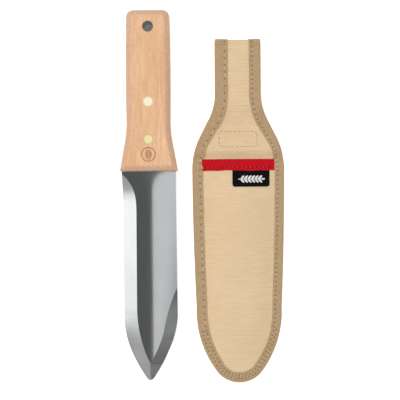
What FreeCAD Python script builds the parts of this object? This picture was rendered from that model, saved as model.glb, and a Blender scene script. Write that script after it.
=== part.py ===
import FreeCAD, Part
import math
import os
import re
import Sketcher
from FreeCAD import Placement, Rotation, Vector

# A garden digging knife and its belt sheath, lying side by side on a flat surface.
# Frame: millimetres, +Z up from the surface, +Y towards the handle's butt, origin under the middle of the pair.
# Names that end in _at are places along Y. Half widths are measured from the knife's or the sheath's own axis.

SIZES = {
    # Where the two halves of the set lie.
    "knife_axis": -44.8,
    "sheath_axis": 30.2,
    # Handle: two wooden scales on a full tang.
    "butt_at": 156.65,
    "handle_end_at": 22.0,
    "handle_thick": 22.0,
    "butt_half": 18.2,
    "waist_half": 18.4,
    "flare_half": 24.3,
    "waist_at": 63.0,
    "flare_start_half": 20.3,
    "flare_start_at": 44.5,
    "waist_arc": 95.0,
    "palm_arc": 2400.0,
    "butt_corner": 6.0,
    "end_corner": 1.0,
    "scale_bevel": 4.6,
    "scale_bevel_depth": 3.4,
    # Blade: dished steel plate, ground on its hollow side.
    "steel_thick": 3.2,
    "dish_depth": 2.6,
    "dish_fade": 18.0,
    "dish_half": 26.3,
    "heel_left": 22.9,
    "heel_right": 22.7,
    "neck_at": 4.0,
    "neck_left": 22.0,
    "neck_right": 22.6,
    "tip_start_at": -99.0,
    "blade_left": 21.5,
    "blade_right": 23.3,
    "shoulder_half": 15.8,
    "shoulder_at": -128.0,
    "shoulder_arc": 75.0,
    "point_arc": 130.0,
    "point_half": 2.4,
    "point_start_at": -152.3,
    "blade_tip_at": -153.35,
    "left_bevel": 10.8,
    "left_bevel_at": 10.0,
    "tip_bevel_at": -93.0,
    "right_bevel_at": -74.5,
    "bevel_apex_at": -139.1,
    "side_bevel_angle": 5.5,
    "tip_bevel_angle": 9.5,
    # Brass pins and the steel tube for a lanyard.
    "pin_radius": 4.4,
    "pin_edge_round": 0.4,
    "upper_pin_at": 79.9,
    "lower_pin_at": 48.4,
    "tube_at": 142.5,
    "tube_radius": 4.5,
    "tube_wall": 0.7,
    # Sheath outline.
    "sheath_top_at": 133.2,
    "stalk_half": 19.3,
    "stalk_end_at": 87.0,
    "hollow_half": 25.2,
    "hollow_at": 64.5,
    "hollow_arc": 46.0,
    "crown_half": 31.3,
    "crown_at": 52.5,
    "crown_arc": 62.0,
    "pocket_half": 38.8,
    "pocket_at": 24.0,
    "side_arc": 2800.0,
    "lower_half": 35.9,
    "lower_at": -93.0,
    "lower_arc": 85.0,
    "toe_half": 18.0,
    "toe_at": -148.5,
    "toe_arc": 23.9,
    "toe_edge_at": -156.65,
    # Cloth layers.
    "canvas": 1.5,
    "tape": 0.7,
    "thread": 0.3,
    "panel_inset": 1.0,
    "binding_width": 8.6,
    "seam_inset": 6.2,
    "seam_width": 0.6,
    "tip_seam_inset": 3.2,
    "tip_seam_at": -113.0,
    # Pocket that takes the blade: mouth, roof and floor.
    "mouth_at": 31.2,
    "mouth_tape_width": 9.7,
    "mouth_seam_at": 24.9,
    "mouth_seam_lift": 0.5,
    "roof_height": 6.6,
    "roof_crown": 1.4,
    "roof_flat": 0.76,
    "pocket_margin": 7.4,
    "pocket_low_half": 30.2,
    "pocket_toe_at": -142.5,
    "pocket_toe_half": 23.0,
    "pocket_toe_height": 5.94,
    "pocket_foot_at": -147.0,
    "pocket_foot_half": 6.0,
    "pocket_foot_height": 3.0,
    # Belt loop at the top: the strap turns over at the top and is sewn down behind the shoulder.
    "loop_gap": 4.8,
    "loop_rise_at": 60.0,
    "loop_top_at": 80.0,
    "strap_end_at": 40.0,
    "ramp_foot_at": 32.5,
    "box_seam_half": 16.2,
    "box_seam_low_at": 42.1,
    "box_seam_high_at": 55.5,
    # Woven label below the mouth.
    "label_left": -5.0,
    "label_right": 26.3,
    "label_top_at": 21.4,
    "label_foot_at": 8.6,
    "label_corner": 2.0,
    # How far cutting and extruded shapes run past what they cut or fill, and a smaller step for seams and the mouth.
    "spare": 5.0,
    "step": 1.0,
}

doc = FreeCAD.newDocument("garden_knife")
sheet = doc.addObject("Spreadsheet::Sheet", "Sizes")
for row, (alias, size) in enumerate(SIZES.items(), start=1):
    sheet.set(f"A{row}", alias)
    sheet.set(f"B{row}", str(size))
    sheet.setAlias(f"B{row}", alias)
doc.recompute()

DRAWN_IN = {
    "plan": Rotation(),  # drawn in X and Y
    "side": Rotation(Vector(1, 1, 1), 120),  # drawn in Y and Z
    "cross": Rotation(Vector(1, 0, 0), 90),  # drawn in X and Z, facing -Y
}
TOUCHING = 1e-6  # two heights or places closer than this are the same
GRIND_REACH = "60"  # width and height of a grinding block, well past the blade
GRIND_LENGTH = "120"
PAST_TIP = "25"  # how far a grinding block starts beyond the bevels' meeting point
NEARLY_FLAT = "0.02"  # the dish at the handle, where it fades out: a loft needs an arc in every section
SHEATH_HEADROOM = "30"  # above everything in the sheath
STALK_FOOT = "3 * tape + canvas"  # the back panel's cloth where it lies on the sewn strap end
STALK_TOP = "3 * tape + canvas + loop_gap"  # and over the belt loop
FOLD_INNER = "(tape + loop_gap + tape) / 2"  # bend of the strap's cloth at the top
FOLD_AT = f"(sheath_top_at - {FOLD_INNER} - canvas - tape)"


def bound(text):
    """Turn size names into references to the sheet's cells."""
    return re.sub(r"[a-z][a-z_]+", lambda name: "Sizes." + name.group(), str(text))


def value(text):
    """Work out an expression of size names now."""
    return float(sheet.evalExpression(bound(text)))


def draw(sketch, corners):
    """Draw a closed outline through corners of (x, y, radius), each an expression of sizes.

    The radius belongs to the side that leaves the corner: 0 is straight, positive turns left, negative right.
    """
    points = [Vector(value(x), value(y), 0) for x, y, _ in corners]
    ends = []
    for number, (_, _, radius) in enumerate(corners):
        start = points[number]
        end = points[(number + 1) % len(points)]
        bend = value(radius)
        if bend == 0:
            side = sketch.addGeometry(Part.LineSegment(start, end))
            ends.append((side, 1, 2))
            continue
        chord = end - start
        away = Vector(-chord.y, chord.x, 0).normalize()
        reach = math.sqrt(bend ** 2 - (chord.Length / 2) ** 2)
        centre = (start + end) / 2 + away * math.copysign(reach, bend)
        first, last = (start, end) if bend > 0 else (end, start)
        angles = [math.atan2(p.y - centre.y, p.x - centre.x) for p in (first, last)]
        circle = Part.Circle(centre, Vector(0, 0, 1), abs(bend))
        side = sketch.addGeometry(Part.ArcOfCircle(circle, angles[0], angles[1]))
        sketch.addConstraint(Sketcher.Constraint("Radius", side, abs(bend)))
        ends.append((side, 1, 2) if bend > 0 else (side, 2, 1))
        size = radius if bend > 0 else f"-({radius})"
        sketch.setExpression(f"Constraints[{sketch.ConstraintCount - 1}]", bound(size))
    for number, (side, near, far) in enumerate(ends):
        after, after_near, _ = ends[(number + 1) % len(ends)]
        sketch.addConstraint(Sketcher.Constraint("Coincident", side, far, after, after_near))
        for kind, text, size in (
            ("DistanceX", corners[number][0], points[number].x),
            ("DistanceY", corners[number][1], points[number].y),
        ):
            added = sketch.addConstraint(Sketcher.Constraint(kind, -1, 1, side, near, size))
            sketch.setExpression(f"Constraints[{added}]", bound(text))


def draw_circle(sketch, x, y, radius):
    """Draw a circle whose centre and radius are expressions of sizes."""
    centre = Vector(value(x), value(y), 0)
    ring = sketch.addGeometry(Part.Circle(centre, Vector(0, 0, 1), value(radius)))
    for kind, text in (("DistanceX", x), ("DistanceY", y)):
        added = sketch.addConstraint(Sketcher.Constraint(kind, -1, 1, ring, 3, value(text)))
        sketch.setExpression(f"Constraints[{added}]", bound(text))
    added = sketch.addConstraint(Sketcher.Constraint("Radius", ring, value(radius)))
    sketch.setExpression(f"Constraints[{added}]", bound(radius))


def mirrored(right):
    """The left side of an outline, from the foot up, for a right side drawn from the top down."""
    radii = ["0"] + [radius for _, _, radius in right[:-1]]
    return [(f"-({x})", y, radius) for (x, y, _), radius in zip(right[::-1], radii[::-1])]


# The line that sketches and boxes outside a body are drawn about. Booleans use one another's results, so the sheath
# is drawn in its place, while the knife's pieces are drawn about X = 0 and moved when finished.
drawing = {"axis": "0"}


def free_sketch(name, plane, corners, along="0"):
    """A sketch outside any body, drawn in the named plane and, for a cross-section, moved along Y."""
    sketch = doc.addObject("Sketcher::SketchObject", name)
    sketch.Placement = Placement(Vector(), DRAWN_IN[plane])
    sketch.setExpression("Placement.Base.x", bound(drawing["axis"]))
    sketch.setExpression("Placement.Base.y", bound(along))
    draw(sketch, corners)
    return sketch


def prism(name, profile, forward, backward="0"):
    """Extrude a profile both ways along its normal."""
    solid = doc.addObject("Part::Extrusion", name)
    solid.Base = profile
    solid.DirMode = "Normal"
    solid.Solid = True
    solid.setExpression("LengthFwd", bound(forward))
    solid.setExpression("LengthRev", bound(backward))
    return solid


def combine(kind, name, *shapes):
    """A boolean of two or more shapes: Cut takes the rest away from the first."""
    if kind == "Cut" and len(shapes) > 2:
        shapes = (shapes[0], combine("Fuse", name + "_tools", *shapes[1:]))
    if kind == "Cut":
        result = doc.addObject("Part::Cut", name)
        result.Base, result.Tool = shapes
        return result
    result = doc.addObject({"Fuse": "Part::MultiFuse", "Common": "Part::MultiCommon"}[kind], name)
    result.Shapes = list(shapes)
    return result


def box(name, low, high):
    """A box between two corners given as expressions."""
    block = doc.addObject("Part::Box", name)
    for side, axis, near, far in zip(("Length", "Width", "Height"), "xyz", low, high):
        block.setExpression(side, bound(f"({far}) - ({near})"))
        shift = drawing["axis"] if axis == "x" else "0"
        block.setExpression(f"Placement.Base.{axis}", bound(f"{near} + {shift}"))
    return block


def new_body(name):
    return doc.addObject("PartDesign::Body", name)


def body_sketch(body, name, role="XY_Plane", height="0"):
    """A sketch on one of the body's own origin planes."""
    sketch = body.newObject("Sketcher::SketchObject", name)
    plane = next(item for item in body.Origin.OriginFeatures if item.Role == role)
    sketch.AttachmentSupport = [(plane, "")]
    sketch.MapMode = "FlatFace"
    sketch.setExpression("AttachmentOffset.Base.z", bound(height))
    return sketch


def pad(body, name, sketch, length, reverse=False):
    feature = body.newObject("PartDesign::Pad", name)
    feature.Profile = sketch
    feature.setExpression("Length", bound(length))
    feature.Reversed = reverse
    return feature


def rim_edges(feature, height):
    """Names of a feature's edges that lie wholly at one height."""
    doc.recompute()
    names = []
    for number, edge in enumerate(feature.Shape.Edges, start=1):
        if all(abs(vertex.Z - height) < TOUCHING for vertex in edge.Vertexes):
            names.append(f"Edge{number}")
    return names


knife = []
sheath = []

# Handle

# The handle's right edge, from the middle of its butt to its blade end.
HANDLE_SIDE = [
    ("butt_half - butt_corner", "butt_at", "-butt_corner"),
    ("butt_half", "butt_at - butt_corner", "-palm_arc"),
    ("waist_half", "waist_at", "waist_arc"),
    ("flare_start_half", "flare_start_at", "0"),
    ("flare_half", "handle_end_at", "0"),
]

FASTENERS = (
    ("0", "upper_pin_at", "pin_radius"),
    ("0", "lower_pin_at", "pin_radius"),
    ("0", "tube_at", "tube_radius"),
)


def make_scale(name, outward):
    """One wooden scale: outward is 1 for the scale on the hollow side of the blade, -1 for the other."""
    body = new_body(name)
    outline = body_sketch(body, f"{name}_outline", height=f"{outward} * steel_thick / 2")
    draw(outline, HANDLE_SIDE + mirrored(HANDLE_SIDE))
    for fastener in FASTENERS:
        draw_circle(outline, *fastener)
    block = pad(body, f"{name}_block", outline, "(handle_thick - steel_thick) / 2", reverse=outward < 0)
    face_height = outward * value("handle_thick / 2")
    hole_centres = [(value(x), value(y)) for x, y, _ in FASTENERS]
    rim = []
    for edge_name in rim_edges(block, face_height):
        middle = block.Shape.getElement(edge_name).BoundBox.Center
        if all(math.hypot(middle.x - x, middle.y - y) > value("step") for x, y in hole_centres):
            rim.append(edge_name)
    bevel = body.newObject("PartDesign::Chamfer", f"{name}_bevel")
    bevel.Base = (block, rim)
    bevel.ChamferType = "Two distances"
    bevel.setExpression("Size", bound("scale_bevel"))
    bevel.setExpression("Size2", bound("scale_bevel_depth"))
    doc.recompute()
    low_y = value("handle_end_at")
    corners = []
    for number, edge in enumerate(bevel.Shape.Edges, start=1):
        at_end = all(abs(vertex.Y - low_y) < TOUCHING for vertex in edge.Vertexes)
        if at_end and edge.BoundBox.ZLength > value("step"):
            corners.append(f"Edge{number}")
    softening = body.newObject("PartDesign::Fillet", f"{name}_corners")
    softening.Base = (bevel, corners)
    softening.setExpression("Radius", bound("end_corner"))
    return body


knife.append(make_scale("front_scale", 1))
knife.append(make_scale("back_scale", -1))

# Fasteners


def make_pin(name, along):
    """A solid brass pin, peened flush with both scales."""
    body = new_body(name)
    circle = body_sketch(body, f"{name}_circle", height="-handle_thick / 2")
    draw_circle(circle, "0", along, "pin_radius")
    rod = pad(body, f"{name}_rod", circle, "handle_thick")
    half = value("handle_thick / 2")
    edges = rim_edges(rod, half) + rim_edges(rod, -half)
    peen = body.newObject("PartDesign::Fillet", f"{name}_peen")
    peen.Base = (rod, edges)
    peen.setExpression("Radius", bound("pin_edge_round"))
    return body


def make_tube():
    """The steel tube that lines the lanyard hole."""
    body = new_body("lanyard_tube")
    ring = body_sketch(body, "tube_ring", height="-handle_thick / 2")
    draw_circle(ring, "0", "tube_at", "tube_radius")
    draw_circle(ring, "0", "tube_at", "tube_radius - tube_wall")
    pad(body, "tube_length", ring, "handle_thick")
    return body


knife.append(make_pin("upper_pin", "upper_pin_at"))
knife.append(make_pin("lower_pin", "lower_pin_at"))
knife.append(make_tube())

# Blade


def dish_section(name, along, depth):
    """Cross-section of the plate at one place: a strip bent to a depth, wider than the whole blade."""
    bend = f"(dish_half ^ 2 + ({depth}) ^ 2) / (2 * ({depth}))"
    under = f"({depth}) / 2 - steel_thick / 2"
    over = f"({depth}) / 2 + steel_thick / 2"
    corners = [
        ("-dish_half", under, bend),
        ("dish_half", under, "0"),
        ("dish_half", over, f"-({bend})"),
        ("-dish_half", over, "0"),
    ]
    return free_sketch(name, "cross", corners, along)


def grind_tool(name, start, end, angle, length, before):
    """A block whose underside is a ground face.

    It begins the before length ahead of start, runs through end, and its face dips by angle to the left of that way.
    """
    first = Vector(*(value(text) for text in start))
    last = Vector(*(value(text) for text in end))
    along = (last - first).normalize()
    outward = Vector(0, 0, 1).cross(along).normalize()
    upward = along.cross(outward)
    block = doc.addObject("Part::Box", name)
    block.setExpression("Length", bound(length))
    block.setExpression("Width", bound(GRIND_REACH))
    block.setExpression("Height", bound(GRIND_REACH))
    level = Rotation(along, outward, upward, "XYZ")
    dip = Rotation(along, -value(angle))
    block.Placement = Placement(first - along * value(before), dip.multiply(level))
    return block


def make_blade():
    right = [
        ("heel_right", "handle_end_at", "0"),
        ("neck_right", "neck_at", "0"),
        ("blade_right", "tip_start_at", "-shoulder_arc"),
        ("shoulder_half", "shoulder_at", "-point_arc"),
        ("point_half", "point_start_at", "0"),
        ("0", "blade_tip_at", "0"),
    ]
    left = [
        ("-point_half", "point_start_at", "-point_arc"),
        ("-shoulder_half", "shoulder_at", "-shoulder_arc"),
        ("-blade_left", "tip_start_at", "0"),
        ("-neck_left", "neck_at", "0"),
        ("-heel_left", "handle_end_at", "0"),
    ]
    plate_outline = free_sketch("plate_outline", "plan", HANDLE_SIDE + right + left + mirrored(HANDLE_SIDE))
    for fastener in FASTENERS:
        draw_circle(plate_outline, *fastener)
    plate = prism("plate", plate_outline, "handle_thick", "handle_thick")
    sections = [
        dish_section("dish_tang", "handle_end_at", NEARLY_FLAT),
        dish_section("dish_rise", "handle_end_at - dish_fade / 2", "dish_depth / 2"),
        dish_section("dish_full", "handle_end_at - dish_fade", "dish_depth"),
        dish_section("dish_end", "blade_tip_at - spare", "dish_depth"),
    ]
    dish = doc.addObject("Part::Loft", "dish")
    dish.Sections = sections
    dish.Solid = True
    dish.Ruled = True
    tang = box(
        "tang",
        ("-dish_half", "handle_end_at", "-steel_thick / 2"),
        ("dish_half", "butt_at + spare", "steel_thick / 2"),
    )
    strip = combine("Fuse", "strip", dish, tang)
    form = combine("Common", "blade_form", plate, strip)
    floor = "(steel_thick - dish_depth) / 2"
    ground = f"{floor} + dish_depth * (left_bevel / flare_half) ^ 2"
    apex = ("0", "bevel_apex_at", floor)
    left_start = ("-left_bevel", "blade_tip_at - spare", ground)
    left_end = ("-left_bevel", "left_bevel_at", ground)
    left_bend = ("-left_bevel", "tip_bevel_at", ground)
    right_start = ("blade_right", "right_bevel_at", f"{floor} + dish_depth")
    left_length = "left_bevel_at - blade_tip_at + spare"
    grinds = [
        grind_tool("side_grind", left_start, left_end, "side_bevel_angle", left_length, "0"),
        grind_tool("left_tip_grind", apex, left_bend, "tip_bevel_angle", GRIND_LENGTH, PAST_TIP),
        grind_tool("right_tip_grind", right_start, apex, "tip_bevel_angle", GRIND_LENGTH, "0"),
    ]
    return combine("Cut", "blade", form, *grinds)


knife.append(make_blade())

# Sheath: plan shapes

drawing["axis"] = "sheath_axis"


def sheath_plan(name, inset):
    """The sheath's outline seen from above, drawn in from the edge by an inset.

    Each corner moves along its own outward direction, and each bend's radius changes by the same inset.
    """
    corners = [
        # half width, place, way out in x and y, radius of the side below it and how the inset changes it
        ("stalk_half", "sheath_top_at", 1, 0, "0", 0),
        ("stalk_half", "stalk_end_at", 1, 0, "hollow_arc", 1),
        ("hollow_half", "hollow_at", 0.89, 0.45, "0", 0),
        ("crown_half", "crown_at", 0.89, 0.45, "crown_arc", -1),
        ("pocket_half", "pocket_at", 1, 0, "side_arc", -1),
        ("lower_half", "lower_at", 1, 0, "lower_arc", -1),
        ("toe_half", "toe_at", 0.75, -0.66, "toe_arc", -1),
    ]
    right = []
    for half, along, out_x, out_y, radius, change in corners:
        across = f"({half} - {out_x} * ({inset}))"
        level = f"{along} - {out_y} * ({inset})"
        bend = "0" if change == 0 else f"({change} * ({radius} + {change} * ({inset})))"
        right.append((across, level, bend))
    return free_sketch(f"{name}_outline", "plan", right + mirrored(right))


def plan_block(name, inset):
    """Everything inside the sheath's outline, less an inset, at any height."""
    return prism(name, sheath_plan(name, inset), SHEATH_HEADROOM)


def plan_ring(name, outer_inset, inner_inset):
    return combine("Cut", name, plan_block(f"{name}_outer", outer_inset), plan_block(f"{name}_inner", inner_inset))


def back_levels():
    """Places along Y and the height of the underside of the back panel's cloth there."""
    return [
        ("toe_edge_at - spare", "tape"),
        ("ramp_foot_at", "tape"),
        ("strap_end_at", STALK_FOOT),
        ("loop_rise_at", STALK_FOOT),
        ("loop_top_at", STALK_TOP),
        (FOLD_AT, STALK_TOP),
    ]


def side_layer(name, below, above, over_pocket):
    """A layer that follows the back panel from toe to top, drawn from the side.

    It reaches below the cloth's underside, above its upper face, and by over_pocket above it as far as the mouth.
    """
    under = [(along, f"{height} - ({below})", "0") for along, height in back_levels()]
    over = [(along, f"{height} + canvas + ({above})", "0") for along, height in back_levels()]
    pocket_top = f"tape + canvas + ({over_pocket})"
    over[0] = (over[0][0], pocket_top, "0")
    over[1:1] = [("mouth_at + tape", pocket_top, "0"), ("mouth_at + tape", f"tape + canvas + ({above})", "0")]
    profile = free_sketch(f"{name}_side", "side", under + over[::-1])
    return prism(f"{name}_band", profile, "pocket_half + spare", "pocket_half + spare")


# Sheath: cloth


def roof(name, grow):
    """The pocket's hollow, or the same shape grown by a thickness: sloping sides and a gently crowned top."""
    stations = [
        ("mouth_at + step", "pocket_half - pocket_margin", "roof_height"),
        ("pocket_at", "pocket_half - pocket_margin", "roof_height"),
        ("lower_at", "lower_half - pocket_margin", "roof_height"),
        ("shoulder_at", "pocket_low_half - pocket_margin", "roof_height"),
        ("pocket_toe_at", "pocket_toe_half - pocket_margin", "pocket_toe_height"),
        ("pocket_foot_at", "pocket_foot_half", "pocket_foot_height"),
    ]
    sections = []
    for number, (station_at, half, height) in enumerate(stations):
        foot = f"({half} + ({grow}))"
        top = f"({height} + ({grow}))"
        flat = f"({half}) * roof_flat"
        crown = f"roof_crown * ({height}) / roof_height"
        bend = f"((({flat}) ^ 2 + ({crown}) ^ 2) / (2 * {crown}))"
        base = "tape + canvas"
        corners = [
            (f"-{foot}", base, "0"),
            (foot, base, "0"),
            (flat, f"{base} + {top}", bend),
            (f"-({flat})", f"{base} + {top}", "0"),
        ]
        is_last = int(number == len(stations) - 1)
        along = f"{station_at} - ({grow}) * {is_last}"
        sections.append(free_sketch(f"{name}_{number}", "cross", corners, along))
    hollow = doc.addObject("Part::Loft", name)
    hollow.Sections = sections
    hollow.Solid = True
    hollow.Ruled = True
    return hollow


hollow = roof("pocket_hollow", "0")
roof_outer = roof("roof_outer", "canvas")
roof_taped = roof("roof_taped", "canvas + tape")
roof_stitched = roof("roof_stitched", "canvas + tape + thread")

below_mouth = box(
    "below_mouth",
    ("-pocket_half", "toe_edge_at", "tape + canvas"),
    ("pocket_half", "mouth_at", SHEATH_HEADROOM),
)
flange = box(
    "front_flange",
    ("-pocket_half", "toe_edge_at", "tape + canvas"),
    ("pocket_half", "mouth_at", "tape + canvas * 2"),
)


def back_cloth_band():
    """The back panel's own cloth from the side, one layer thick all along."""
    under = [(along, height, "0") for along, height in back_levels()]
    over = [(along, f"{height} + canvas", "0") for along, height in back_levels()]
    profile = free_sketch("back_side", "side", under + over[::-1])
    return prism("back_band", profile, "pocket_half + spare", "pocket_half + spare")


def make_panels():
    """The back panel, with its stalk, and the domed front panel."""
    back = combine("Common", "back_panel", plan_block("back_plan", "panel_inset"), back_cloth_band())
    dome = combine("Common", "front_dome", roof_outer, below_mouth)
    front_cloth = combine("Fuse", "front_cloth", flange, dome)
    front_form = combine("Common", "front_form", plan_block("front_plan", "panel_inset"), front_cloth)
    return back, combine("Cut", "front_panel", front_form, hollow)


back_panel, front_panel = make_panels()


def make_mouth_tape():
    """The tape over the front panel's upper edge."""
    span = box(
        "mouth_tape_span",
        ("-pocket_half", "mouth_at + tape - mouth_tape_width", "tape + canvas"),
        ("pocket_half", "mouth_at + tape", SHEATH_HEADROOM),
    )
    cover = combine("Common", "mouth_tape_cover", roof_taped, span)
    return combine("Cut", "mouth_tape", cover, front_panel, hollow)


def make_label():
    """The woven label on the front panel, just below the mouth tape."""
    outline = free_sketch("label_outline", "plan", [
        ("label_left", "label_top_at", "0"),
        ("label_right", "label_top_at", "0"),
        ("label_right", "label_foot_at + label_corner", "-label_corner"),
        ("label_right - label_corner", "label_foot_at", "0"),
        ("label_left + label_corner", "label_foot_at", "-label_corner"),
        ("label_left", "label_foot_at + label_corner", "0"),
    ])
    cover = combine("Common", "label_cover", roof_taped, prism("label_block", outline, SHEATH_HEADROOM))
    return combine("Cut", "label", cover, roof_outer)


mouth_tape = make_mouth_tape()
label = make_label()


def strap_band(name, grow):
    """The belt strap from the side: flat under the stalk, then round the fold at the top."""
    outer = f"({FOLD_INNER} + canvas + ({grow}))"
    inner = f"({FOLD_INNER} - ({grow}))"
    middle = f"(tape + canvas + {FOLD_INNER})"
    profile = free_sketch(f"{name}_side", "side", [
        ("strap_end_at", f"tape - ({grow})", "0"),
        (FOLD_AT, f"tape - ({grow})", outer),
        (f"{FOLD_AT} + {outer}", middle, outer),
        (FOLD_AT, f"{middle} + {outer}", "0"),
        (FOLD_AT, f"{middle} + {inner}", f"-{inner}"),
        (f"{FOLD_AT} + {inner}", middle, f"-{inner}"),
        (FOLD_AT, f"{middle} - {inner}", "0"),
        ("strap_end_at", f"tape + canvas + ({grow})", "0"),
    ])
    return prism(f"{name}_band", profile, "stalk_half", "stalk_half")


def make_strap():
    """The strap's cloth and the tape along its two edges."""
    low = "toe_edge_at"
    top = "sheath_top_at + spare"
    cloth_span = box(
        "strap_span",
        ("-stalk_half + panel_inset", low, "0"),
        ("stalk_half - panel_inset", top, SHEATH_HEADROOM),
    )
    strap = combine("Common", "belt_strap", strap_band("strap", "0"), cloth_span)
    edges = [
        box("strap_left_edge", ("-stalk_half", low, "0"), ("-stalk_half + binding_width", top, SHEATH_HEADROOM)),
        box("strap_right_edge", ("stalk_half - binding_width", low, "0"), ("stalk_half", top, SHEATH_HEADROOM)),
    ]
    both = combine("Fuse", "strap_edges", *edges)
    cover = combine("Common", "strap_cover", strap_band("strap_tape", "tape"), both)
    return strap, combine("Cut", "strap_binding", cover, strap)


belt_strap, strap_binding = make_strap()
binding_band = side_layer("binding", "tape", "tape", "canvas + tape")


def make_binding():
    """The tape that wraps the raw edges of both panels, all the way round."""
    ring = plan_ring("binding_ring", "0", "binding_width")
    cover = combine("Common", "binding_cover", ring, binding_band)
    return combine("Cut", "edge_binding", cover, back_panel, front_panel, mouth_tape, hollow)


edge_binding = make_binding()

# Sheath: thread


def make_seams():
    """Thread that stands proud of the tape along the edge, twice round the toe and not over the fold at the top."""
    over_tape = side_layer("thread", "0", "tape + thread", "canvas + tape + thread")
    layer = combine("Cut", "thread_layer", over_tape, binding_band, roof_outer)
    edge_ring = plan_ring("edge_seam", "seam_inset", "seam_inset + seam_width")
    toe_ring = plan_ring("toe_seam", "tip_seam_inset", "tip_seam_inset + seam_width")
    low_corner = ("-pocket_half", "toe_edge_at", "0")
    edge_span = box("edge_span", low_corner, ("pocket_half", f"{FOLD_AT} - step", SHEATH_HEADROOM))
    toe_span = box("toe_span", low_corner, ("pocket_half", "tip_seam_at", SHEATH_HEADROOM))
    edge_path = combine("Common", "edge_seam_path", edge_ring, layer)
    toe_path = combine("Common", "toe_seam_path", toe_ring, layer)
    return combine("Common", "edge_thread", edge_path, edge_span), combine("Common", "tip_thread", toe_path, toe_span)


def make_mouth_seam():
    """The row of thread along the mouth tape."""
    flat_top = "tape * 2 + canvas * 2"
    span = box(
        "mouth_seam_span",
        ("-pocket_half + binding_width + step", "mouth_seam_at - seam_width / 2", f"{flat_top} + mouth_seam_lift"),
        ("pocket_half - binding_width - step", "mouth_seam_at + seam_width / 2", SHEATH_HEADROOM),
    )
    row = combine("Common", "mouth_seam_row", roof_stitched, span)
    return combine("Cut", "mouth_thread", row, roof_taped)


def make_box_seam():
    """The stitched rectangle that holds the strap's end and closes the belt loop."""
    body = new_body("loop_thread")
    rectangle = body_sketch(body, "box_seam", height=f"{STALK_FOOT} + canvas")
    for inset in ("0", "seam_width"):
        half = f"(box_seam_half - {inset})"
        draw(rectangle, [
            (f"-{half}", f"box_seam_low_at + {inset}", "0"),
            (half, f"box_seam_low_at + {inset}", "0"),
            (half, f"box_seam_high_at - {inset}", "0"),
            (f"-{half}", f"box_seam_high_at - {inset}", "0"),
        ])
    pad(body, "box_seam_thread", rectangle, "thread")
    return body


edge_thread, tip_thread = make_seams()
loop_thread = make_box_seam()
sheath = [
    back_panel,
    front_panel,
    belt_strap,
    edge_binding,
    strap_binding,
    mouth_tape,
    label,
    edge_thread,
    tip_thread,
    make_mouth_seam(),
    loop_thread,
]

# Place, check and write


def settle(piece, axis, height):
    """Move a finished piece from its own drawing frame to its place in the set."""
    piece.setExpression("Placement.Base.x", bound(axis))
    piece.setExpression("Placement.Base.z", bound(height))


for piece in knife:
    settle(piece, "knife_axis", "handle_thick / 2")
settle(loop_thread, "sheath_axis", "0")
doc.recompute()

faults = [item.Name for item in doc.Objects if "Invalid" in item.State or "Error" in item.State]
for piece in knife + sheath:
    if piece.Shape.isNull() or not piece.Shape.isValid():
        faults.append(f"{piece.Label}: bad shape")
if faults:
    raise SystemExit("These objects failed: " + ", ".join(faults))

os.makedirs("parts", exist_ok=True)
for piece in knife + sheath:
    piece.Shape.exportStep(f"parts/{piece.Label}.step")
    limits = piece.Shape.BoundBox
    print(f"{piece.Label:14s} {len(piece.Shape.Solids)} solids {piece.Shape.Volume:10.1f} mm3", limits)
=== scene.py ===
"""A garden digging knife beside its belt sheath, seen from straight above in soft studio light.

Shapes are worked out in millimetres in the model's own frame, and turned into metres when a mesh is made.
"""

import math

import bmesh
import bpy
import numpy as np
from mathutils import Matrix, Vector


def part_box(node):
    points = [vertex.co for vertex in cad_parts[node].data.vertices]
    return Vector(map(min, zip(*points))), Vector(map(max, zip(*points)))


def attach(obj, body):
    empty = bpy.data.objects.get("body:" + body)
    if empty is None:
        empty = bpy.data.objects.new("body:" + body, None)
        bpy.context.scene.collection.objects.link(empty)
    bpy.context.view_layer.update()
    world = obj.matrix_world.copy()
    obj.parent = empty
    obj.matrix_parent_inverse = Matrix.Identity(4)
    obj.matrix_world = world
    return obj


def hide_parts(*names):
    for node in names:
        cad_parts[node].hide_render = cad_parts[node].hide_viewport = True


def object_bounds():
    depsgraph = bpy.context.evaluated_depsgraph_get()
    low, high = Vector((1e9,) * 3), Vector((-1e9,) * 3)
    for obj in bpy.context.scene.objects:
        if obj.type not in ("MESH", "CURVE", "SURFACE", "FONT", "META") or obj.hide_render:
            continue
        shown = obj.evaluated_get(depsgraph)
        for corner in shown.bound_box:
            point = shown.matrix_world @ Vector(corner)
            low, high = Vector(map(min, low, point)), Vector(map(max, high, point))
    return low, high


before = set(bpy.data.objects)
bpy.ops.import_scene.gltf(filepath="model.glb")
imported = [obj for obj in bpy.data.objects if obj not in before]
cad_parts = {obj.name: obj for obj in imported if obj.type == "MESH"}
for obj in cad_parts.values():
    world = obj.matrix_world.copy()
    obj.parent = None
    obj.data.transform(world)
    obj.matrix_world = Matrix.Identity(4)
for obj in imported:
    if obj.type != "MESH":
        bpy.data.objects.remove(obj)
cad_box = [list(corner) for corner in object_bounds()]
scene = bpy.context.scene

MM = 0.001


def cad(node):
    """Lowest and highest corner of a CAD node, in millimetres."""
    low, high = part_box(node)
    return np.array(low) / MM, np.array(high) / MM


def middle(node):
    """Centre of a CAD node's box, in millimetres."""
    low, high = cad(node)
    return (low + high) / 2


# Camera, light and floor.

VIEW_SIDE = 1.0715 * (cad_box[1][1] - cad_box[0][1])  # the picture's side, at the height of the knife's face
VIEW_CENTRE = Vector((-0.0022, -0.00235, 0.010))
VIEW_ROLL = math.radians(-0.42)
SENSOR = 36.0
LENS = 135.0


def add_to_scene(name, data):
    """A new object in the scene, at its origin."""
    thing = bpy.data.objects.new(name, data)
    scene.collection.objects.link(thing)
    return thing


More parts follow.
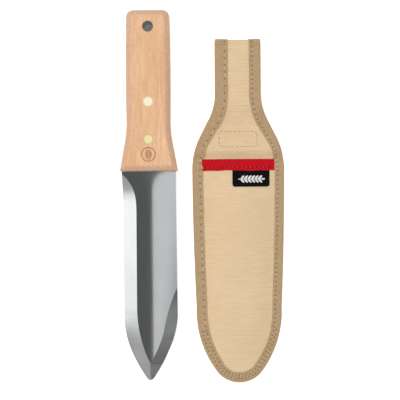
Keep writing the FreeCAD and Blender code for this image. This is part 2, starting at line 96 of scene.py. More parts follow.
def place_camera():
    """A long lens that looks straight down on the middle of the set."""
    camera = add_to_scene("camera", bpy.data.cameras.new("camera"))
    camera.data.sensor_width = SENSOR
    camera.data.lens = LENS
    camera.location = VIEW_CENTRE + Vector((0, 0, VIEW_SIDE * LENS / SENSOR))
    camera.rotation_euler = (0, 0, VIEW_ROLL)
    scene.camera = camera
    scene.view_settings.view_transform = "Standard"


place_camera()


class Tree:
    """Builds shader nodes in a material or a world, one short call for each."""

    def __init__(self, owner):
        owner.use_nodes = True
        self.tree = owner.node_tree

    def feed(self, socket, value):
        """Give a socket a constant or another node's output."""
        if isinstance(value, bpy.types.NodeSocket):
            self.tree.links.new(value, socket)
        else:
            socket.default_value = value

    def node(self, kind, inputs=None, **settings):
        made = self.tree.nodes.new("ShaderNode" + kind)
        for key, value in settings.items():
            setattr(made, key, value)
        for key, value in (inputs or {}).items():
            self.feed(made.inputs[key], value)
        return made

    def maths(self, operation, *values):
        return self.node("Math", dict(enumerate(values)), operation=operation).outputs[0]

    def product(self, *values):
        result = values[0]
        for value in values[1:]:
            result = self.maths("MULTIPLY", result, value)
        return result

    def step(self, value, low, high, to_low=0.0, to_high=1.0):
        """A smooth step from to_low at low to to_high at high."""
        inputs = {"Value": value, "From Min": low, "From Max": high, "To Min": to_low, "To Max": to_high}
        return self.node("MapRange", inputs, interpolation_type="SMOOTHSTEP").outputs["Result"]

    def mixed(self, share, first, second):
        """A number between first and second."""
        inputs = {0: share, 2: first, 3: second}
        return self.node("Mix", inputs, data_type="FLOAT").outputs[0]

    def blend(self, share, first, second):
        """A colour between first and second."""
        return self.node("Mix", {0: share, 6: first, 7: second}, data_type="RGBA").outputs[2]

    def split(self, vector):
        return self.node("SeparateXYZ", {0: vector}).outputs


def srgb(red, green, blue):
    """A colour given in 0 to 255 display values."""
    shares = [value / 255 for value in (red, green, blue)]
    return tuple(((s + 0.055) / 1.055) ** 2.4 if s > 0.04045 else s / 12.92 for s in shares) + (1.0,)


# How bright the sky is in each direction. The blade mirrors the ceiling, and takes its shades from it.
LEFT_CEILING = 1.14
RIGHT_CEILING = 0.18
RIGHT_FRONT = 0.27
RIGHT_DIM = 0.09
FRONT_CEILING = 0.36
WALLS = 0.48
BACKDROP = 0.9


def light_studio():
    """Pale walls under a ceiling that is lit to the left, unlit to the right and dimmer towards the front."""
    world = bpy.data.worlds.new("studio")
    scene.world = world
    sky = Tree(world)
    # The direction of each ray: x is to the right, y to the back and z up.
    x, y, z = sky.split(sky.node("TexCoord").outputs["Generated"])
    right = sky.mixed(sky.step(y, -0.18, -0.14), RIGHT_FRONT, RIGHT_CEILING)
    right = sky.mixed(sky.step(y, -0.32, -0.24), RIGHT_DIM, right)
    ceiling = sky.mixed(sky.step(x, -0.083, -0.073), LEFT_CEILING, right)
    slanted = sky.maths("ADD", y, sky.product(x, 0.45))
    slanted = sky.maths("ADD", slanted, sky.maths("MAXIMUM", sky.product(x, 0.6), 0.0))
    to_front = sky.step(slanted, -0.34, -0.15, 1.0, 0.0)
    ceiling = sky.mixed(to_front, ceiling, FRONT_CEILING)
    inside = sky.product(
        sky.step(x, -0.8, -0.6),
        sky.step(x, 0.55, 0.75, 1.0, 0.0),
        sky.step(sky.maths("ABSOLUTE", y), 0.45, 0.75, 1.0, 0.0),
        sky.step(z, 0.2, 0.4),
    )
    level = sky.mixed(inside, WALLS, ceiling)
    level = sky.mixed(sky.node("LightPath").outputs["Is Camera Ray"], level, BACKDROP)
    background = sky.tree.nodes["Background"].inputs
    sky.feed(background["Strength"], level)
    background["Color"].default_value = (1, 1, 1, 1)


light_studio()

KEY_SIZE = 0.8
KEY_ENERGY = 9.0
KEY_PLACE = (-0.16, 0.06, 1.2)


def hang_key():
    """A large soft light over the set. The steel doesn't mirror it."""
    key = add_to_scene("key", bpy.data.lights.new("key", "AREA"))
    key.data.size = KEY_SIZE
    key.data.energy = KEY_ENERGY
    key.location = KEY_PLACE
    key.rotation_euler = (-key.location).to_track_quat("-Z", "Y").to_euler()
    key.visible_glossy = False


hang_key()

FLOOR_HALF = 3.0
FLOOR_LEVEL = -0.0003  # just under the lowest stitch
FLOOR_GLOW = 0.55
FLOOR_SHADE_REACH = 0.03


def lay_floor():
    """A pale floor that lights itself a little, except where it is closed in, as at the bottom of a hole."""
    corners = [(-1, -1), (1, -1), (1, 1), (-1, 1)]
    mesh = bpy.data.meshes.new("floor")
    mesh.from_pydata([(x * FLOOR_HALF, y * FLOOR_HALF, FLOOR_LEVEL) for x, y in corners], [], [(0, 1, 2, 3)])
    floor = add_to_scene("floor", mesh)
    material = bpy.data.materials.new("floor")
    look = Tree(material)
    shader = look.tree.nodes["Principled BSDF"]
    shader.inputs["Base Color"].default_value = (0.9, 0.9, 0.9, 1)
    shader.inputs["Roughness"].default_value = 0.8
    shader.inputs["Specular IOR Level"].default_value = 0.0
    shader.inputs["Emission Color"].default_value = (1, 1, 1, 1)
    openness = look.node("AmbientOcclusion", {"Distance": FLOOR_SHADE_REACH}, samples=8).outputs["AO"]
    look.feed(shader.inputs["Emission Strength"], look.step(openness, 0.05, 0.3, 0.0, FLOOR_GLOW))
    mesh.materials.append(material)


lay_floor()

# Meshes.


def add_tube(points, faces, rings):
    """Add a tube that is closed at both ends, given as rings of points, to the points and faces of a mesh."""
    count, around, _ = rings.shape
    start = len(points)
    faces += grid_faces(count, around, around=True, start=start)
    faces.append(tuple(range(start, start + around))[::-1])
    faces.append(tuple(range(start + (count - 1) * around, start + count * around)))
    points += list(rings.reshape(-1, 3))


def new_object(name, points, faces):
    """An object from points in millimetres."""
    mesh = bpy.data.meshes.new(name)
    mesh.from_pydata([tuple(point) for point in np.asarray(points) * MM], [], faces)
    return add_to_scene(name, mesh)


def grid_faces(rows, columns, around=False, start=0):
    """Quads of a grid whose points run row by row; around joins each row's end to its start."""
    faces = []
    for r in range(rows - 1):
        for c in range(columns if around else columns - 1):
            after = (c + 1) % columns
            corners = (r * columns + c, r * columns + after, (r + 1) * columns + after, (r + 1) * columns + c)
            faces.append(tuple(start + corner for corner in corners))
    return faces


def grid_object(name, grid, around=False, caps=False):
    """An object from an array of rows, columns and x, y, z."""
    rows, columns, _ = grid.shape
    faces = grid_faces(rows, columns, around)
    if caps:
        faces.append(tuple(range(columns))[::-1])
        faces.append(tuple(range((rows - 1) * columns, rows * columns)))
    return new_object(name, grid.reshape(-1, 3), faces)


def tidy(thing, sharp=None, doubled=0.002):
    """Join points closer than doubled, face all faces outwards and shade smoothly up to the sharp angle."""
    mesh = thing.data
    work = bmesh.new()
    work.from_mesh(mesh)
    if doubled:
        bmesh.ops.remove_doubles(work, verts=work.verts, dist=doubled * MM)
    bmesh.ops.recalc_face_normals(work, faces=work.faces)
    work.to_mesh(mesh)
    work.free()
    mesh.shade_smooth()
    if sharp is not None:
        mesh.set_sharp_from_angle(angle=math.radians(sharp))
    return thing


def apply_modifiers(thing):
    """Replace a mesh by what its modifiers make of it."""
    graph = bpy.context.evaluated_depsgraph_get()
    made = bpy.data.meshes.new_from_object(thing.evaluated_get(graph))
    thing.modifiers.clear()
    thing.data = made
    return thing


def thicken(thing, thickness):
    """Give a sheet its thickness, away from the side that its faces look to."""
    solid = thing.modifiers.new("thickness", "SOLIDIFY")
    solid.thickness = thickness * MM
    solid.offset = -1
    return apply_modifiers(thing)


def drill(thing, holes, low, high):
    """Cut round upright holes, each an x, y and radius, from low to high."""
    for x, y, radius in holes:
        turns = full_turn(64)
        ring = [(x + radius * math.cos(turn), y + radius * math.sin(turn)) for turn in turns]
        grid = np.array([[(px, py, level) for px, py in ring] for level in (low, high)])
        tool = tidy(grid_object("drill", grid, around=True, caps=True))
        cut = thing.modifiers.new("hole", "BOOLEAN")
        cut.operation = "DIFFERENCE"
        cut.solver = "EXACT"
        cut.object = tool
        apply_modifiers(thing)
        bpy.data.objects.remove(tool)


def join(name, things):
    """One object out of several."""
    work = bmesh.new()
    for thing in things:
        work.from_mesh(thing.data)
        bpy.data.objects.remove(thing)
    mesh = bpy.data.meshes.new(name)
    work.to_mesh(mesh)
    work.free()
    return add_to_scene(name, mesh)


def note(thing, name, values):
    """Store a number or a vector for each point, for a material to read."""
    values = np.asarray(values, np.float32)
    kind, field = ("FLOAT", "value") if values.ndim == 1 else ("FLOAT_VECTOR", "vector")
    attribute = thing.data.attributes.new(name, kind, "POINT")
    attribute.data.foreach_set(field, values.ravel())


def put(thing, body, material, nodes=()):
    """Let a finished piece ride on its body, with its finish and in place of its CAD nodes."""
    for each in material if isinstance(material, list) else [material]:
        thing.data.materials.append(each)
    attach(thing, body)
    if nodes:
        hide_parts(*nodes)
    return thing


# Outlines.


def arc(start, end, radius, step):
    """Points from start up to but not including end. Radius 0 is straight, positive turns left."""
    start, end = np.array(start, float), np.array(end, float)
    chord = end - start
    length = float(np.hypot(*chord))
    if radius == 0:
        count = max(1, round(length / step))
        return [start + chord * i / count for i in range(count)]
    across = np.array([-chord[1], chord[0]]) / length
    reach = math.sqrt(radius ** 2 - (length / 2) ** 2)
    centre = (start + end) / 2 + across * math.copysign(reach, radius)
    first = math.atan2(*(start - centre)[::-1])
    turn = math.copysign(2 * math.asin(length / 2 / abs(radius)), radius)
    count = max(4, round(abs(turn * radius) / step))
    angles = [first + turn * i / count for i in range(count)]
    return [centre + abs(radius) * np.array([math.cos(a), math.sin(a)]) for a in angles]


def trace(corners, step):
    """An open line through corners of x, y and the radius of the side that follows."""
    line = []
    for (x, y, radius), (next_x, next_y, _) in zip(corners, corners[1:]):
        line += arc((x, y), (next_x, next_y), radius, step)
    line.append(np.array(corners[-1][:2], float))
    return np.array(line)


def mirrored(line):
    """The same line on the other side of X = 0, run the other way."""
    return (line * [-1, 1])[::-1]


def half_width(side, along):
    """How far a side that runs down from its top stands from the middle line at given places."""
    return np.interp(-np.asarray(along, float), -side[:, 1], side[:, 0])


def rounded(corners, reach, count=5):
    """A line through corners whose inner corners are eased over a reach to each side."""
    corners = np.array(corners, float)
    line = [corners[0]]
    for before, corner, after in zip(corners, corners[1:], corners[2:]):
        start = corner + (before - corner) / np.linalg.norm(before - corner) * reach
        end = corner + (after - corner) / np.linalg.norm(after - corner) * reach
        for share in np.linspace(0, 1, count):
            line.append((1 - share) ** 2 * start + 2 * share * (1 - share) * corner + share ** 2 * end)
    line.append(corners[-1])
    return np.array(line)


def full_turn(count):
    """So many even angles of a whole turn."""
    return np.linspace(0, 2 * math.pi, count, endpoint=False)


def smooth(low, high, value):
    """0 below low, 1 above high and a smooth step between."""
    share = np.clip((np.asarray(value, float) - low) / (high - low), 0, 1)
    return share * share * (3 - 2 * share)


def eased(places, heights, value):
    """Heights joined by smooth steps between places."""
    result = np.full(np.shape(value), heights[0], float)
    for low, high, near, far in zip(places, places[1:], heights, heights[1:]):
        result = result + (far - near) * smooth(low, high, value)
    return result


def run_along(line):
    """Length along a line up to each of its points."""
    return np.concatenate([[0], np.cumsum(np.linalg.norm(np.diff(line, axis=0), axis=1))])


def looked_up(at, run, table):
    """Rows of a table whose own rows are at given runs, read at other runs."""
    return np.stack([np.interp(at, run, column) for column in table.T], axis=1)


def resample(line, step):
    """Points at an even step along a line."""
    run = run_along(line)
    return looked_up(np.linspace(0, run[-1], round(run[-1] / step) + 1), run, line)


def directions(line):
    """Unit vectors along a line, one for each point."""
    ways = np.gradient(line, axis=0)
    return ways / np.linalg.norm(ways, axis=1, keepdims=True)


def upright(count):
    """So many unit vectors that point straight up."""
    return np.tile([0.0, 0.0, 1.0], (count, 1))


# Materials.


class Look(Tree):
    """A procedural material. Its constant values sit on the shader's own sockets."""

    def __init__(self, name, **fixed):
        self.material = bpy.data.materials.new(name)
        super().__init__(self.material)
        self.shader = self.tree.nodes["Principled BSDF"]
        for socket, value in fixed.items():
            self.shader.inputs[socket.replace("_", " ")].default_value = value

    def position(self, x=1.0, y=1.0, z=1.0):
        """The object's own position in millimetres, stretched by a factor along each axis."""
        source = self.node("TexCoord").outputs["Object"]
        factors = (x / MM, y / MM, z / MM)
        return self.node("VectorMath", {0: source, 1: factors}, operation="MULTIPLY").outputs[0]

    def noted(self, name, field="Fac"):
        return self.node("Attribute", attribute_name=name).outputs[field]

    def noise(self, where, scale=1.0, detail=3.0, roughness=0.5):
        inputs = {"Vector": where, "Scale": scale, "Detail": detail, "Roughness": roughness}
        return self.node("TexNoise", inputs).outputs["Fac"]

    def wave(self, where, direction, scale, distortion=0.0, detail=2.0):
        inputs = {"Vector": where, "Scale": scale, "Distortion": distortion, "Detail": detail}
        return self.node("TexWave", inputs, bands_direction=direction).outputs["Fac"]

    def off(self, x, y):
        """Distance in plan from an upright axis in millimetres, and its two parts."""
        across, along, _ = self.split(self.position())
        across = self.maths("SUBTRACT", across, x)
        along = self.maths("SUBTRACT", along, y)
        return self.length(across, along), across, along

    def length(self, across, along):
        return self.maths("SQRT", self.maths("ADD", self.product(across, across), self.product(along, along)))

    def bump(self, height, depth):
        """Raise the surface by up to depth millimetres."""
        inputs = {"Height": height, "Distance": depth * MM, "Strength": 1.0}
        self.feed(self.shader.inputs["Normal"], self.node("Bump", inputs).outputs["Normal"])

    def colour(self, value):
        self.feed(self.shader.inputs["Base Color"], value)

    def roughness(self, value):
        self.feed(self.shader.inputs["Roughness"], value)


def leaf_mark(look, x, y, radius):
    """A burnt ring with a single leaf in it, as a share of burning from 0 to 1."""
    from_middle, across, along = look.off(x, y)
    off_ring = look.maths("ABSOLUTE", look.maths("SUBTRACT", from_middle, radius))
    ring = look.step(off_ring, 0.25, 0.6, 1.0, 0.0)
    # A leaf is where two discs overlap, and its veins are left unburnt.
    disc = radius * 0.95
    shift = radius * 0.42
    sides = []
    for sign in (-1, 1):
        from_centre = look.length(look.maths("ADD", across, sign * shift), along)
        sides.append(look.step(from_centre, disc - 0.35, disc, 1.0, 0.0))
    width = look.maths("ABSOLUTE", across)
    rib = look.step(width, 0.15, 0.4)
    slant = look.maths("SUBTRACT", along, look.product(width, 0.9))
    veins = look.step(look.maths("SINE", look.product(slant, 3.0)), 0.5, 0.95, 1.0, 0.15)
    burnt = look.maths("MAXIMUM", ring, look.product(sides[0], sides[1], rib, veins))
    patchy = look.step(look.noise(look.position(), 1.1, 4.0), 0.25, 0.6, 0.45, 1.0)
    return look.product(burnt, patchy)


def beech(name, mark=None):
    """Oiled beech: pale and even, with fine fibres and short dark flecks along the handle, and painted shade on
    its sloping chamfers.
    """
    look = Look(name, Specular_IOR_Level=0.35)
    broad = look.noise(look.position(0.09, 0.012, 0.09), 1.0, 4.0)
    fibre = look.noise(look.position(1.6, 0.05, 1.6), 1.0, 5.0, 0.6)
    fleck = look.step(look.noise(look.position(1.5, 0.28, 1.5), 1.0, 1.5), 0.60, 0.72)
    pores = look.step(look.noise(look.position(5.0, 0.5, 5.0), 1.0, 2.0), 0.6, 0.8)
    base = look.blend(look.step(broad, 0.3, 0.7), srgb(242, 200, 163), srgb(228, 181, 139))
    base = look.blend(look.step(fibre, 0.35, 0.7, 0.0, 0.8), base, srgb(214, 164, 122))
    base = look.blend(look.product(fleck, 0.5), base, srgb(186, 130, 90))
    base = look.blend(look.product(pores, 0.28), base, srgb(176, 122, 86))
    # Painted shade: faces that slope away from straight up, the chamfers most, are painted greyer and darker
    # than the flat face, with darker streaks on them.
    level = look.maths("ABSOLUTE", look.split(look.node("NewGeometry").outputs["Normal"])[2])
    slope_shade = look.product(look.step(level, 0.84, 0.97, 1.0, 0.0), look.step(level, 0.3, 0.7, 0.25, 1.0))
    base = look.blend(look.product(slope_shade, 0.62), base, srgb(208, 174, 148))
    streak = look.step(look.noise(look.position(0.5, 0.5, 0.5), 1.0, 3.0), 0.35, 0.7)
    base = look.blend(look.product(slope_shade, streak, 0.4), base, srgb(186, 146, 118))
    if mark:
        base = look.blend(look.product(leaf_mark(look, *mark), 0.85), base, srgb(146, 86, 50))
    look.colour(base)
    look.roughness(look.step(fibre, 0.3, 0.7, 0.42, 0.55))
    look.bump(look.maths("ADD", fibre, look.product(pores, -0.7)), 0.03)
    return look.material


def steel(name, tone, smoothness, lines, line_depth):
    """Steel with fine polishing lines: lines stretches them along X or Y, and tone is how bright it is."""
    look = Look(name, Metallic=1.0)
    fine = look.noise(look.position(*lines), 1.0, 4.0, 0.65)
    cloud = look.noise(look.position(0.12, 0.05, 0.12), 1.0, 3.0)
    light, dim, dull = ((tone * f * 0.985, tone * f, tone * f * 1.012, 1) for f in (1.0, 0.93, 0.87))
    base = look.blend(look.step(fine, 0.25, 0.75), dim, light)
    look.colour(look.blend(look.step(cloud, 0.35, 0.7, 0.0, 0.4), base, dull))
    look.roughness(look.step(fine, 0.2, 0.8, smoothness, smoothness + 0.05))
    look.bump(fine, line_depth)
    return look.material


def brass(name, tone, rim, node, metal):
    """A peened brass pin head: a sanded face with a darker ring where the wood meets it."""
    look = Look(name, Metallic=metal, Specular_IOR_Level=0.6)
    off, _, _ = look.off(*middle(node)[:2])
    fine = look.noise(look.position(7.0, 0.6, 7.0), 1.0, 3.0)
    base = look.blend(look.step(fine, 0.3, 0.7, 0.0, 0.3), srgb(*tone), srgb(*(0.86 * c for c in tone)))
    ring = look.product(look.step(off, 3.3, 3.75), look.step(off, 3.9, 4.2, 1.0, 0.0))
    base = look.blend(look.product(ring, 0.6), base, srgb(*rim))
    look.colour(base)
    look.roughness(look.step(fine, 0.3, 0.7, 0.42, 0.56))
    look.bump(fine, 0.01)
    return look.material


def canvas(name):
    """Stiff cotton canvas: fine ribs across the sheath, slubs in the yarn and a slight change of shade."""
    look = Look(name, Roughness=0.92, Specular_IOR_Level=0.12, Sheen_Weight=0.08)
    ribs = look.wave(look.position(0.012, 1, 0.012), "Y", 0.15, 1.8, 3.0)
    warp = look.wave(look.position(1, 0.02, 0.02), "X", 0.21, 0.8)
    slub = look.noise(look.position(0.10, 1.1, 0.10), 1.0, 4.0, 0.7)
    broad = look.noise(look.position(0.02, 0.02, 0.02), 1.0, 3.0)
    on_stalk = look.step(look.split(look.position())[1], MOUTH, MOUTH + 50, 0.10, 0.3)
    base = look.blend(look.step(slub, 0.3, 0.72), srgb(233, 208, 171), srgb(221, 194, 156))
    base = look.blend(look.step(broad, 0.3, 0.7, 0.0, 0.3), base, srgb(216, 188, 149))
    broken = look.step(look.noise(look.position(0.05, 0.35, 0.05), 1.0, 2.0), 0.35, 0.65, 0.25, 1.0)
    base = look.blend(look.product(look.step(ribs, 0.45, 1.0), on_stalk, broken), base, srgb(184, 146, 100))
    base = look.blend(look.product(warp, 0.06), base, srgb(196, 164, 120))
    look.colour(base)
    height = look.maths("ADD", look.product(ribs, 0.9), look.product(slub, 0.8))
    look.bump(look.maths("ADD", height, look.product(warp, 0.3)), 0.10)
    return look.material


def tape(name, light, dark, edge=None, hole=(92, 68, 46)):
    """Woven tape: a fine slanting twill, painted shade at the needle holes and, where given, a coloured outer
    edge.
    """
    look = Look(name, Roughness=0.9, Specular_IOR_Level=0.15, Sheen_Weight=0.1)
    run = look.noted("weave", "Vector")
    twill = look.wave(run, "DIAGONAL", 0.26, 0.7)
    drawn_out = look.node("VectorMath", {0: run, 1: (0.25, 2.6, 0.25)}, operation="MULTIPLY")
    yarn = look.noise(drawn_out.outputs[0], 1.0, 4.0)
    base = look.blend(look.step(yarn, 0.3, 0.7), srgb(*light), srgb(*dark))
    base = look.blend(look.product(twill, 0.3), base, srgb(*(0.84 * c for c in dark)))
    if edge:
        base = look.blend(look.product(look.noted("rim"), 0.7), base, srgb(*edge))
    # Painted shade: the tape is darkened round each needle hole, where the mesh is only dimpled.
    base = look.blend(look.noted("hole"), base, srgb(*hole))
    look.colour(base)
    look.bump(look.maths("ADD", twill, look.product(yarn, 0.8)), 0.10)
    return look.material


def thread(name, light, dark):
    """Twisted sewing thread."""
    look = Look(name, Roughness=0.75, Specular_IOR_Level=0.25)
    twist = look.wave(look.position(), "DIAGONAL", 1.6, 0.3)
    patch = look.noise(look.position(0.4, 0.4, 0.4), 1.0, 2.0)
    base = look.blend(look.step(patch, 0.35, 0.65), srgb(*light), srgb(*dark))
    base = look.blend(look.product(twist, 0.35), base, srgb(*(0.8 * c for c in dark)))
    look.colour(base)
    look.bump(twist, 0.05)
    return look.material


# Knife.

KNIFE_X, _, KNIFE_Z = middle("upper_pin")
BUTT = cad("front_scale")[1][1]
HANDLE_END = cad("front_scale")[0][1]
POINT = cad("blade")[0][1]
HALF_HANDLE = cad("front_scale")[1][2] - KNIFE_Z
STEEL = 3.2
BUTT_HALF = 18.2
BUTT_CORNER = 6.0
FLARE = 24.3
BEVEL_WIDTH = 4.6
BEVEL_DEPTH = 3.4
BEVEL_SOFTNESS = 1.8
FACE_START = BEVEL_WIDTH + BEVEL_SOFTNESS + 0.4
LEAST_CORNER = 0.3
PIN_RADIUS = 4.4
TUBE_RADIUS = 4.5
HOLES = [(0, middle(node)[1], PIN_RADIUS) for node in ("upper_pin", "lower_pin")]
HOLES.append((0, middle("lanyard_tube")[1], TUBE_RADIUS))
MARK_AT = HANDLE_END + 13.9
MARK_RADIUS = 5.7


def to_knife(thing):
    """Move a piece drawn about the knife's own axis into its place."""
    thing.data.transform(Matrix.Translation(Vector((KNIFE_X, 0, KNIFE_Z)) * MM))
    return thing


handle_side = trace(
    [(BUTT_HALF, BUTT - BUTT_CORNER, -2400), (18.4, 63.0, 95.0), (20.3, 44.5, 0), (FLARE, HANDLE_END, 0)],
    0.5,
)


def handle_ring(width):
    """The handle's outline, clockwise and drawn in by a width, always with as many points."""
    turns = np.linspace(math.pi / 2, 0, 10)[:-1]
    radius = max(BUTT_CORNER - width, LEAST_CORNER)
    centre_x = BUTT_HALF - width - radius
    centre_y = BUTT - width - radius
    corner = np.stack([centre_x + radius * np.cos(turns), centre_y + radius * np.sin(turns)])
    along = np.linspace(centre_y, HANDLE_END + width, 90)
    half = half_width(handle_side, along)
    across = half - width * np.sqrt(1 + np.gradient(half, along) ** 2)
    right = np.concatenate([corner.T, np.stack([across, along], axis=1)])
    left = mirrored(right)
    ends = [np.linspace(start, end, 26)[1:-1] for start, end in ((right[-1], left[0]), (left[-1], right[0]))]
    return np.concatenate([right, ends[0], left, ends[1]])


def make_scale(name, side, material, node):
    """A wooden scale with a softened bevel all round its face; side is 1 above the tang and -1 below it."""
    side_wall = [(0, STEEL / 2), (0, HALF_HANDLE - BEVEL_DEPTH)]
    profile = rounded(side_wall + [(BEVEL_WIDTH, HALF_HANDLE), (FACE_START, HALF_HANDLE)], BEVEL_SOFTNESS)
    rings = [(handle_ring(width), side * level) for width, level in profile]
    grid = np.array([[(x, y, level) for x, y in ring] for ring, level in rings])
    scale = tidy(grid_object(name, grid, around=True, caps=True))
    drill(scale, HOLES, -HALF_HANDLE - 2, HALF_HANDLE + 2)
    tidy(scale, sharp=28)
    return put(to_knife(scale), "knife", material, [node])


make_scale("front_scale_wood", 1, beech("beech_marked", (KNIFE_X, MARK_AT, MARK_RADIUS)), "front_scale")
make_scale("back_scale_wood", -1, beech("beech_plain"), "back_scale")

# Blade: a dished plate with one long ground face on the left, a short one on the right and a spear point.
DISH = 2.6
DISH_FADE = 18.0
TIP_START = HANDLE_END - 121.0
SHOULDER = HANDLE_END - 150.0
POINT_START = POINT + 1.05
APEX = HANDLE_END - 161.1
GROUND_IN = 10.8
EDGE = 0.3
LEFT_SLOPE = 0.125
TIP_SLOPE = 0.165

# The ground face on the left widens towards the handle, where the grinder left the steel.
PLUNGE_FOOT = -15.0
PLUNGE_LENGTH = 32.8
PLUNGE_WIDTH = 9.9
PLUNGE_POWER = 3.3

# Points of one cross-section: each ground face, the hollow face and the back.
SIDE_COLUMNS = 7
FACE_COLUMNS = 41
UNDER_COLUMNS = 33
RIGHT_GROUND = SIDE_COLUMNS + FACE_COLUMNS - 1
GROUND_COLUMNS = {*range(SIDE_COLUMNS), *range(RIGHT_GROUND, RIGHT_GROUND + SIDE_COLUMNS)}

TIP_OUTLINE = [(15.8, SHOULDER, -130), (2.4, POINT_START, -2.6), (0.05, POINT, 0)]


def blade_side(top, heel, widest):
    """One side of the blade in plan, from under the handle down to the point, given its three half widths."""
    upper = [(top, HANDLE_END + 0.6, 0), (heel, HANDLE_END - 18, 0), (widest, TIP_START, -75)]
    return trace(upper + TIP_OUTLINE, 0.5)


left_side = blade_side(22.9, 22.0, 21.5)
right_side = blade_side(22.7, 22.6, 23.3)


def dish(across, along):
    """Height of the hollow face over the tang's middle."""
    share = 1 - smooth(HANDLE_END - DISH_FADE, HANDLE_END + 8, along)
    return STEEL / 2 + share * DISH * ((across / FLARE) ** 2 - 0.5)


# Where the ground faces meet the hollow one, from the top down to the apex.
left_line = trace([(GROUND_IN, TIP_START + 6, -107), (0.0, APEX, 0)], 1.0)
right_line = trace([(23.4, -74.5, 145), (11.6, -112.3, -97), (0.0, APEX, 0)], 1.0)


def blade_row(along):
    """The closed cross-section at one place, as x and z, clockwise from the left edge."""
    left, right = half_width(left_side, along), half_width(right_side, along)
    plunge = PLUNGE_WIDTH * np.clip((along - PLUNGE_FOOT) / PLUNGE_LENGTH, 0, 1.1) ** PLUNGE_POWER
    in_left = min(left, float(half_width(left_line, along)) + plunge)
    in_right = min(right, float(half_width(right_line, along)))
    fall = max(0.0, (APEX - along) / (APEX - POINT)) * (STEEL - EDGE)
    left_slope = LEFT_SLOPE + (TIP_SLOPE - LEFT_SLOPE) * float(smooth(-TIP_START, -SHOULDER, -along))
    sides = []
    for sign, outer, near, slope in ((-1, left, in_left, left_slope), (1, right, in_right, TIP_SLOPE)):
        base = float(dish(near, along)) - fall
        lowest = float(dish(outer, along)) - STEEL + EDGE
        edge = min(base, max(lowest, base - slope * (outer - near)))
        shares = np.linspace(0, 1, SIDE_COLUMNS + 1)[1:]
        across = near + (outer - near) * shares
        sides.append(list(zip(sign * across, base + (edge - base) * shares)))
    top = [(x, float(dish(x, along)) - fall) for x in np.linspace(-in_left, in_right, FACE_COLUMNS)]
    under = [(x, float(dish(x, along)) - STEEL) for x in np.linspace(right, -left, UNDER_COLUMNS)]
    return sides[0][::-1] + top + sides[1] + under


def make_blade():
    """Blade and tang, with a satin finish on the ground faces and a brighter polish in the dish. The ground
    faces' far lighter steel tone is a painted highlight.
    """
    places = np.concatenate([
        np.arange(HANDLE_END + 0.5, TIP_START, -1.0),
        np.arange(TIP_START, POINT + 3, -0.7),
        POINT + 3 * np.linspace(1, 0, 14) ** 2,
    ])
    grid = np.array([[(x, along, z) for x, z in blade_row(along)] for along in places])
    steel_part = grid_object("blade_steel", grid, around=True, caps=True)
    columns = grid.shape[1]
    end_caps = (len(places) - 1) * columns
    for number, face in enumerate(steel_part.data.polygons):
        face.material_index = int(number < end_caps and number % columns in GROUND_COLUMNS)
    sheet = np.array([[(x, y, level) for x, y in handle_ring(0)] for level in (-STEEL / 2, STEEL / 2)])
    tang = tidy(grid_object("tang", sheet, around=True, caps=True))
    drill(tang, HOLES, -STEEL, STEEL)
    blade = tidy(join("blade_forged", [tidy(steel_part), tang]), sharp=5)
    finishes = [
        steel("dish_polish", 0.48, 0.075, (1.3, 0.02, 1.3), 0.0012),
        # Painted highlight: the ground faces get a far lighter steel tone than the dish, for the light they
        # catch.
        steel("ground_satin_painted_highlight", 0.93, 0.15, (0.05, 2.2, 0.05), 0.003),
    ]
    return put(to_knife(blade), "knife", finishes, ["blade"])


make_blade()


def refinish(node, material):
    """Give a CAD node that keeps its own shape a better material."""
    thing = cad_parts[node]
    for slot in thing.material_slots:
        slot.material = material
    if not thing.material_slots:
        thing.data.materials.append(material)


refinish("upper_pin", brass("brass_pale", (255, 243, 212), (206, 172, 118), "upper_pin", 0.0))
refinish("lower_pin", brass("brass_gold", (250, 234, 176), (176, 134, 70), "lower_pin", 0.12))
# Painted shade: the tube's low steel tone darkens it for the shade in its bore.
refinish("lanyard_tube", steel("tube_steel", 0.34, 0.12, (1.2, 1.2, 0.1), 0.006))

# Sheath: plan and levels.

SHEATH_X = middle("front_panel")[0]
TOE = cad("edge_binding")[0][1]
TOP = cad("strap_binding")[1][1]
MOUTH = cad("front_panel")[1][1]
STRAP_END = cad("belt_strap")[0][1]
CANVAS = 1.5
TAPE = 0.7
LOOP_GAP = 4.8
PANEL_INSET = 1.0
TAPE_WIDTH = 8.6
STALK_TAPE_WIDTH = 10.4
SEAM_BACK = 2.5
STALK_HALF = 19.3
STALK_FOOT = 3 * TAPE + CANVAS
STALK_TOP = STALK_FOOT + LOOP_GAP
FOLD_INNER = TAPE + LOOP_GAP / 2
FOLD = TOP - FOLD_INNER - CANVAS - TAPE
FOLD_MIDDLE = TAPE + CANVAS + FOLD_INNER
DOME_EDGE = 8.0
DOME_HEIGHT = 5.2
DOME_START = TOE + 5
DOME_FULL = TOE + 62
DOME_FALL = -20.0  # from here up to the mouth the dome falls to half its height
DOME_SHOULDER = 22.0  # above here its foot no longer follows the sheath's side
RIPPLE = 0.10
CLOTH_SHARP = 50

sheath_side = trace(
    [
        (STALK_HALF, FOLD, 0),
        (STALK_HALF, 87.0, 46.0),
        (25.2, 64.5, 0),
        (31.3, 52.5, -62.0),
        (38.8, 24.0, -2800.0),
        (35.9, -93.0, -85.0),
        (18.0, -148.5, -23.9),
        (0.0, TOE, 0),
    ],
    0.4,
)


def sheath_half(along):
    """Half the sheath's width at given places."""
    return half_width(sheath_side, along)


def under_cloth(along):
    """Height of the underside of the back panel's cloth."""
    places = (MOUTH + 1.3, STRAP_END, 60.0, 80.0)
    return eased(places, (TAPE, STALK_FOOT, STALK_FOOT, STALK_TOP), along)


